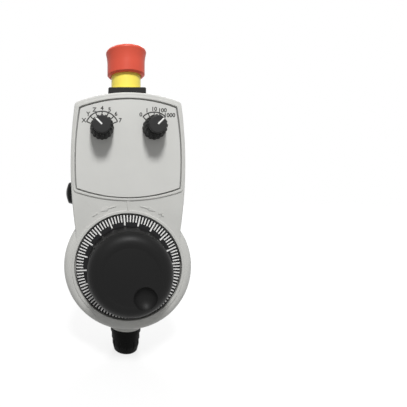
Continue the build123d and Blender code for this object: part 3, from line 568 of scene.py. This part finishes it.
def label_round(name, label, centre, radius, angle):
    extra = max(0, len(label) - 2)
    text = bpy.data.curves.new(f"{name}_label_{label}", "FONT")
    text.body = label
    text.size = label_size
    text.offset = label_weight
    text.align_x = "CENTER"
    text.align_y = "CENTER"
    text.extrude = label_skin
    text.resolution_u = 3
    drawn = bpy.data.objects.new(f"{name}_drawn_{label}", text)
    bpy.context.scene.collection.objects.link(drawn)
    x, z = polar(centre, radius + long_shift * extra, angle + long_turn * extra)
    drawn.location = (x, panel_y - label_skin, z)
    drawn.rotation_euler = (pi / 2, 0, 0)
    bpy.context.view_layer.update()
    mesh = bpy.data.meshes.new_from_object(drawn)
    mesh.transform(drawn.matrix_world)
    mesh.materials.clear()
    mesh.materials.append(grey_ink)
    piece = bpy.data.objects.new(f"{name}_label_{label}", mesh)
    bpy.context.scene.collection.objects.link(piece)
    bpy.data.objects.remove(drawn)
    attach(piece, "housing")


print("a label's size:", round(label_size * 1000, 1), "mm")

# %% Both selectors' scales
notch = 22.5  # degrees between two places of a selector
axis_centre, step_centre = centre_of("axis_knob_cap"), centre_of("step_knob_cap")
axis_radius, axis_tick, axis_gap = (v * millimetre for v in (12.8, 3.6, 2.3))
step_radius, step_tick, step_gap = (v * millimetre for v in (12.2, 3.0, 2.25))
axis_angles = [-67.5 + notch * i for i in range(7)]
step_angles = [-45 + notch * i for i in range(5)]
scale("axis", axis_centre, axis_angles, axis_radius, axis_tick)
for angle, label in zip(axis_angles, ("X", "Y", "Z", "4", "5", "6", "7")):
    label_round("axis", label, axis_centre, axis_radius + axis_gap, angle)
scale("step", step_centre, step_angles, step_radius, step_tick)
for angle, label in zip(step_angles, ("0", "1", "10", "100", "1000")):
    label_round("step", label, step_centre, step_radius + step_gap, angle)
print("ticks and labels:", len(axis_angles), "and", len(step_angles))

# %% [markdown]
# ### The knobs' fluted skirts
#
# A real selector knob has a fluted skirt for the fingers under its smooth cap. The
# solids' skirts have shallow flutes, and cutting deeper ones with Booleans leaves
# ragged shading. So these meshes stand for them: the same cone and shoulder, drawn as a
# grid round the knob's axis, with sixteen scallops that run out over the shoulder, and
# the same hollow behind. Each row of the grid is a radius, a height over the skirt's
# foot and how deep its scallops are.

# %% Fluted skirts
flutes = 16
columns_per_flute = 10
flute_depth = 0.95 * millimetre
flute_half = 0.62  # the scallop's share of the way to its neighbour
skirt_spread = 0.05 * millimetre
hollow_radius, hollow_depth = 7.85 * millimetre, 4.8 * millimetre
sharp_edge = radians(35)


def skirt(name, centre, body):
    low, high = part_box(f"{name}_knob_body")
    full = (high.x - low.x) / 2 + skirt_spread
    rise = high.y - low.y
    rows = [
        (hollow_radius, hollow_depth, 0.0),
        (hollow_radius, 0.0, 0.0),
        (full - 0.25 * millimetre, 0.0, 0.25),
        (full, 0.3 * millimetre, 0.5),
        (full - 0.3 * millimetre, rise * 0.35, 0.9),
        (full - 0.75 * millimetre, rise * 0.75, 1.0),
        (full - 1.0 * millimetre, rise - 1.9 * millimetre, 1.0),
        (full - 1.25 * millimetre, rise - 1.5 * millimetre, 0.95),
        (full - 1.9 * millimetre, rise - 0.45 * millimetre, 0.45),
        (full - 2.2 * millimetre, rise, 0.0),
    ]
    columns = flutes * columns_per_flute
    points = []
    for radius, height, share in rows:
        for column in range(columns):
            across = (column % columns_per_flute) / columns_per_flute * 2 - 1
            scallop = max(0.0, 1 - (across / flute_half) ** 2)
            reach = radius - flute_depth * share * scallop
            turn = 2 * pi * column / columns
            x, z = centre[0] + reach * cos(turn), centre[1] + reach * sin(turn)
            points.append((x, high.y - height, z))
    faces = []
    for row in range(len(rows) - 1):
        near, far = row * columns, (row + 1) * columns
        for column in range(columns):
            beside = (column + 1) % columns
            faces.append([near + column, near + beside, far + beside, far + column])
    faces.append(list(range(columns)))
    faces.append([(len(rows) - 1) * columns + column for column in range(columns)])
    finish = finishes["knob_plastic"]
    piece = add_mesh(f"{name}_skirt", points, faces, finish, body)
    piece.data.shade_smooth()
    piece.data.set_sharp_from_angle(angle=sharp_edge)
    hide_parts(f"{name}_knob_body")
    print(name, "skirt corners:", len(points))


skirt("axis", axis_centre, "axis_selector")
skirt("step", step_centre, "step_selector")

# %% [markdown]
# ### Pointers on the knobs
#
# A white line runs from the middle of each cap over its round edge, down its side and
# out over the knob's shoulder. A flat slab can't bend, and a projected print would
# smear down the side. So the line is a strip along that profile, given as pairs of
# distance from the knob's axis and height over the cap's foot.

# %% Knob pointers
pointer_half = 0.55 * millimetre
pointer_skin = 0.05 * millimetre
cap_bend = 0.9 * millimetre


def pointer(name, centre, degrees, body):
    cap_low, cap_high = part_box(f"{name}_knob_cap")
    radius = (cap_high.x - cap_low.x) / 2
    height = cap_high.y - cap_low.y
    skin, bend = pointer_skin, cap_bend
    profile = [
        (0.0, height + skin),
        (radius - bend, height + skin),
        (radius - 0.3 * bend, height - 0.3 * bend + skin),
        (radius + skin, height - bend),
        (radius + skin, skin),
        (radius + 0.55 * millimetre, skin),
        (radius + 0.85 * millimetre, skin - 0.45 * millimetre),
    ]
    outward = Vector((sin(radians(degrees)), cos(radians(degrees))))
    across = Vector((outward.y, -outward.x))
    points = []
    for sunk in (0.0, 2 * skin):
        for distance, rise in profile:
            for side in (-pointer_half, pointer_half):
                spot = outward * (distance - sunk) + across * side
                y = cap_high.y - rise + sunk
                points.append((centre[0] + spot.x, y, centre[1] + spot.y))
    rows = len(profile)
    faces = []
    for row in range(rows - 1):
        near, far = 2 * row, 2 * row + 2
        deep_near, deep_far = near + 2 * rows, far + 2 * rows
        faces.append([near, near + 1, far + 1, far])
        faces.append([deep_near, deep_far, deep_far + 1, deep_near + 1])
        faces.append([near, far, deep_far, deep_near])
        faces.append([near + 1, deep_near + 1, deep_far + 1, far + 1])
    last = 2 * rows - 2
    faces.append([0, 2 * rows, 2 * rows + 1, 1])
    faces.append([last, last + 1, last + 1 + 2 * rows, last + 2 * rows])
    add_mesh(f"{name}_pointer", points, faces, white_ink, body)
    print(name, "pointer at", degrees, "degrees")


pointer("axis", axis_centre, -45, "axis_selector")
pointer("step", step_centre, 45, "step_selector")

# %% [markdown]
# ### Signs moulded into the front
#
# Over the dial two arrows follow its rim, with a plus and a minus for the direction of
# counting, and between them a wedge points down at the divisions. A bump could suggest
# them, but they stand up to a millimetre proud and throw shadows. So they are slabs in
# the housing's own plastic, with edges softened by a bevel.

# %% Outlines of the signs
sign_orbit = 47.5 * millimetre


def curved(first, last, low, high, steps=6):
    """Corners of a strip that follows the dial's rim, tapering from its first end."""
    inner, outer = [], []
    for i in range(steps + 1):
        turn = first + (last - first) * i / steps
        half = (low + (high - low) * i / steps) / 2
        inner.append(polar(dial_centre, sign_orbit - half, turn))
        outer.append(polar(dial_centre, sign_orbit + half, turn))
    return inner + outer[::-1]


signs = []
for side in (-1, 1):
    shaft = (0.7 * millimetre, 0.9 * millimetre)
    tip = (3.0 * millimetre, 0.2 * millimetre)
    stroke = (0.9 * millimetre, 0.9 * millimetre)
    signs.append(curved(11 * side, 20 * side, *shaft))
    signs.append(curved(19.5 * side, 26 * side, *tip))
    signs.append(curved(29.5 * side, 35 * side, *stroke, 3))
plus_turn, plus_half, plus_width = 32.25, 2.2 * millimetre, 0.9 * millimetre
plus_start = polar(dial_centre, sign_orbit - plus_half, plus_turn)
plus_end = polar(dial_centre, sign_orbit + plus_half, plus_turn)
signs.append(bar(plus_start, plus_end, plus_width))
wedge_top, wedge_tip = -1.2 * millimetre, -8.2 * millimetre
wedge_half, tip_half = 1.2 * millimetre, 0.4 * millimetre
wedge = [
    (dial_centre[0] - wedge_half, wedge_top),
    (dial_centre[0] + wedge_half, wedge_top),
    (dial_centre[0] + tip_half, wedge_tip),
    (dial_centre[0] - tip_half, wedge_tip),
]
print("outlines of signs:", len(signs))

# %% Signs and wedge
sign_rise, wedge_rise = 0.45 * millimetre, 0.85 * millimetre
soft_edge = 0.1 * millimetre


def moulded_on(name, outlines, rise):
    """Raised forms on the front, in the housing's plastic, with softened edges."""
    forms = [[(x, front_y, z) for x, z in outline] for outline in outlines]
    finish = finishes["housing_plastic"]
    piece = slabs(name, forms, rise, finish, "housing")
    soften = piece.modifiers.new("soften", "BEVEL")
    soften.width = soft_edge
    soften.segments = 2
    soften.limit_method = "ANGLE"
    print(name, "rise:", round(rise * 1000, 2), "mm")


moulded_on("direction_signs", signs, sign_rise)
moulded_on("index_wedge", [wedge], wedge_rise)

# %% [markdown]
# ### The dark line round the panel
#
# On the real object a narrow groove between the raised frame and the foil reads as a
# dark line. The groove is in the solids, but at its width light still reaches its
# bottom. So a flat dark strip lies there as painted shade, standing for the shade that
# the groove's bottom would have. It follows four arcs, each drawn through three points.

# %% The bead's path
def arc_through(first, middle, last, steps=24):
    """Points on the circle through three points, from the first to the last."""
    a, b, c = (Vector(p) for p in (first, middle, last))
    ab, cb = a - b, c - b
    cross = 2 * (ab.x * cb.y - ab.y * cb.x)
    u = (ab.length_squared * cb.y - cb.length_squared * ab.y) / cross
    v = (cb.length_squared * ab.x - ab.length_squared * cb.x) / cross
    centre = b + Vector((u, v))
    start, end = a - centre, c - centre
    whole = start.angle_signed(end)
    points = []
    for i in range(steps + 1):
        spoke = start.copy()
        spoke.rotate(Matrix.Rotation(-whole * i / steps, 2))
        points.append(tuple(centre + spoke))
    return points


def field_path(inset):
    """The panel's outline, so far inside the raised frame, as (x, z) points."""
    top = (0.0375 - inset, 0.0709 - inset)
    crown = (0.0, 0.0777 - inset)
    side = (0.0409 - inset, 0.03935)
    foot = (0.0403 - inset, 0.0078 + inset)
    dip = (0.0, 0.0006 + inset)
    top_left, side_left, foot_left = ((-x, z) for x, z in (top, side, foot))
    path = []
    for arc in (
        (top_left, crown, top),
        (top, side, foot),
        (foot, dip, foot_left),
        (foot_left, side_left, top_left),
    ):
        path += arc_through(*arc)[:-1]
    return path


bead_outer = field_path(0.2 * millimetre)
bead_inner = field_path(0.8 * millimetre)
print("points round the panel:", len(bead_outer))

# %% Painted shade in the groove
bead_depth, bead_rise = 0.8 * millimetre, 0.2 * millimetre
bead_y = front_y + bead_depth
bead = []
for i in range(len(bead_outer)):
    j = (i + 1) % len(bead_outer)
    corners = (bead_outer[i], bead_outer[j], bead_inner[j], bead_inner[i])
    bead.append([(x, bead_y, z) for x, z in corners])
# Painted shade: a dark grey strip in the groove's bottom, darker than the lit groove
# renders.
groove_shade_finish = moulded("groove_shade_paint", (0.19, 0.19, 0.185), 0.6, 0.15, 0.01, 0.1)
slabs("groove_shade_strip", bead, bead_rise, groove_shade_finish, "housing")
print("bead runs:", len(bead))

# %% [markdown]
# ### Plates on the back
#
# The back carries a rating plate in its shallow recess and a small round sticker beside
# it, both bare here. A thin slab with rounded corners says all of their shape. Foil
# that was laid by hand is never quite flat, so a soft waviness in the material catches
# the light unevenly.

# %% White foil
def foil(name, colour):
    finish = Finish(name)
    waves = finish.noise(90.0, 2.0)
    fibre = finish.noise(5000.0, 2.0, 0.6)
    smooth, dull = 0.28, 0.4
    values = {
        "Base Color": finish.blend(waves, shade(colour, 0.96), shade(colour, 1.03)),
        "Roughness": finish.ramp(fibre, noise_low, noise_high, smooth, dull),
        "Normal": finish.bump(waves * 0.8 + fibre * 0.04, 0.12 * millimetre),
        "Coat Weight": 0.2,
        "Coat Roughness": 0.15,
    }
    return finish.surface(values)


white_foil = foil("white_foil", (0.82, 0.82, 0.81))
print("foil:", white_foil.name)

# %% Rating plate and sticker
housing_depth, recess_depth = 40.0 * millimetre, 0.4 * millimetre
back_y = front_y + housing_depth
recess_y = back_y - recess_depth
plates_z = 44.0 * millimetre
plate_width, plate_height, plate_corner = 0.044, 0.0195, 0.0008
sticker_x, sticker_radius, sticker_steps = -0.0298, 0.00565, 48
plate_skin, sticker_skin = 0.18 * millimetre, 0.1 * millimetre


def rounded(width, height, corner, steps=6):
    """Corners of a rectangle with round corners, about the origin."""
    outline = []
    for quarter, (sx, sz) in enumerate(((1, 1), (-1, 1), (-1, -1), (1, -1))):
        for i in range(steps + 1):
            turn = pi / 2 * (quarter + i / steps)
            x = sx * (width / 2 - corner) + corner * cos(turn)
            z = sz * (height / 2 - corner) + corner * sin(turn)
            outline.append((x, z))
    return outline


corners = rounded(plate_width, plate_height, plate_corner)
plate = [(x, recess_y, plates_z + z) for x, z in corners]
slabs("rating_plate", [plate], -plate_skin, white_foil, "housing")
disc = []
for i in range(sticker_steps):
    turn = 2 * pi * i / sticker_steps
    x, z = sticker_radius * cos(turn), sticker_radius * sin(turn)
    disc.append((sticker_x + x, back_y, plates_z + z))
slabs("round_sticker", [disc], -sticker_skin, white_foil, "housing")
print("plates on the back: 2")

# %% [markdown]
# ## The studio
#
# The photograph has a plain white ground and soft light from above the front. A white
# box of lamps would do that, but it would also wash out the black parts. So the world
# is white for the camera and for what metal and gloss mirror, and lights the object
# with a softer white, more from above than from below.

# %% World
world_below, world_above = 0.055, 0.46
scene = bpy.context.scene
scene.view_settings.view_transform = "Standard"
scene.world = bpy.data.worlds.new("studio")
scene.world.use_nodes = True
white = (1, 1, 1, 1)


def sight(graph):
    """One for the rays that show white ground, nought for those that carry light."""
    seen = graph.node("ShaderNodeLightPath", output="Is Camera Ray")
    glossy = graph.node("ShaderNodeLightPath", output="Is Glossy Ray")
    passed = graph.node("ShaderNodeLightPath", output="Is Transmission Ray")
    return seen + glossy + passed


sky = Graph(scene.world.node_tree)
direction = sky.node("ShaderNodeTexCoord", output="Generated")
upward = sky.node("ShaderNodeSeparateXYZ", None, {0: direction}, "Z")
strength = sky.ramp(upward, -1.0, 1.0, world_below, world_above)
lit = sky.node("ShaderNodeBackground", None, {"Color": white, "Strength": strength})
shown = sky.node("ShaderNodeBackground", None, {"Color": white, "Strength": 1.0})
ground = sky.node("ShaderNodeMixShader", None, {0: sight(sky), 1: lit, 2: shown})
sky.end("ShaderNodeOutputWorld", ground)
print("world light, below and above:", world_below, world_above)

# %% [markdown]
# The floor lies just under the gland. A plain white floor would end in a grey horizon
# and would light the object from below. This one glows white to the camera, least near
# the object, where it keeps the shadow, and throws little light back, so that the
# object's underside stays in shade.

# %% Floor
floor_gap, floor_size = 0.5 * millimetre, 3.0
shadow_near, shadow_far = 0.12, 0.34
glow_near, glow_far, glow_strength = 0.7, 1.0, 1.12
floor_pale, floor_dim = (0.8, 0.8, 0.8, 1), (0.34, 0.34, 0.34, 1)
floor_z = size_before[0].z - floor_gap
bpy.ops.mesh.primitive_plane_add(size=floor_size, location=(0, 0, floor_z))
floor = bpy.context.object
floor.name = "floor"
pale = Finish("pale_floor")
length = {"operation": "LENGTH"}
distance = pale.node("ShaderNodeVectorMath", length, {0: pale.place()}, "Value")
share = pale.ramp(distance, shadow_near, shadow_far, glow_near, glow_far)
diffuse = pale.node("ShaderNodeBsdfDiffuse", None, {"Color": floor_pale})
light = {"Color": white, "Strength": glow_strength}
glow = pale.node("ShaderNodeEmission", None, light)
lightened = pale.node("ShaderNodeMixShader", None, {0: share, 1: diffuse, 2: glow})
dim = pale.node("ShaderNodeBsdfDiffuse", None, {"Color": floor_dim})
mixed = pale.node("ShaderNodeMixShader", None, {0: sight(pale), 1: dim, 2: lightened})
floor.data.materials.append(pale.cover(mixed))
print("floor at", round(floor_z * 1000, 1), "mm")

# %% [markdown]
# One large lamp above the front draws the knobs' shadows straight down, as soft ones. A
# sun would draw them sharp. A second lamp behind lights the back for the other views.

# %% Lamps
def lamp(name, where, aim, size, power):
    light = bpy.data.lights.new(name, "AREA")
    light.shape = "SQUARE"
    light.size = size
    light.energy = power
    hung = bpy.data.objects.new(name, light)
    scene.collection.objects.link(hung)
    hung.location = where
    heading = Vector(aim) - Vector(where)
    hung.rotation_euler = heading.to_track_quat("-Z", "Y").to_euler()
    print(name, "lamp:", power, "W")


middle = (0, -0.03, 0.0)
lamp("key", (0.01, -0.62, 0.64), middle, size=0.16, power=6.15)
lamp("rear", (0.1, 0.62, 0.62), middle, size=0.35, power=3.7)

# %% [markdown]
# ## The camera
#
# The photograph was taken from close by, which shows in how much larger the wheel's
# front looks than its rim. A longer lens from further off would flatten that. So the
# camera stands a quarter of a metre before the panel, to the left of the object's
# middle and level with the panel's foot, and looks straight along the depth. The lens
# is shifted so that the object stands where the photograph has it.

# %% Camera
camera_data = bpy.data.cameras.new("camera")
camera = bpy.data.objects.new("camera", camera_data)
scene.collection.objects.link(camera)
camera.location = (-0.0193, -0.2845, 0.01485)
camera.rotation_euler = (pi / 2, 0, 0)
camera_data.sensor_width = 36.0
camera_data.lens = 27.6
camera_data.shift_x = 0.247
camera_data.shift_y = -0.058
camera_data.clip_start = 0.01
scene.camera = camera
camera_gap = front_y - camera.location.y
print("camera before the front face:", round(camera_gap * 1000), "mm")
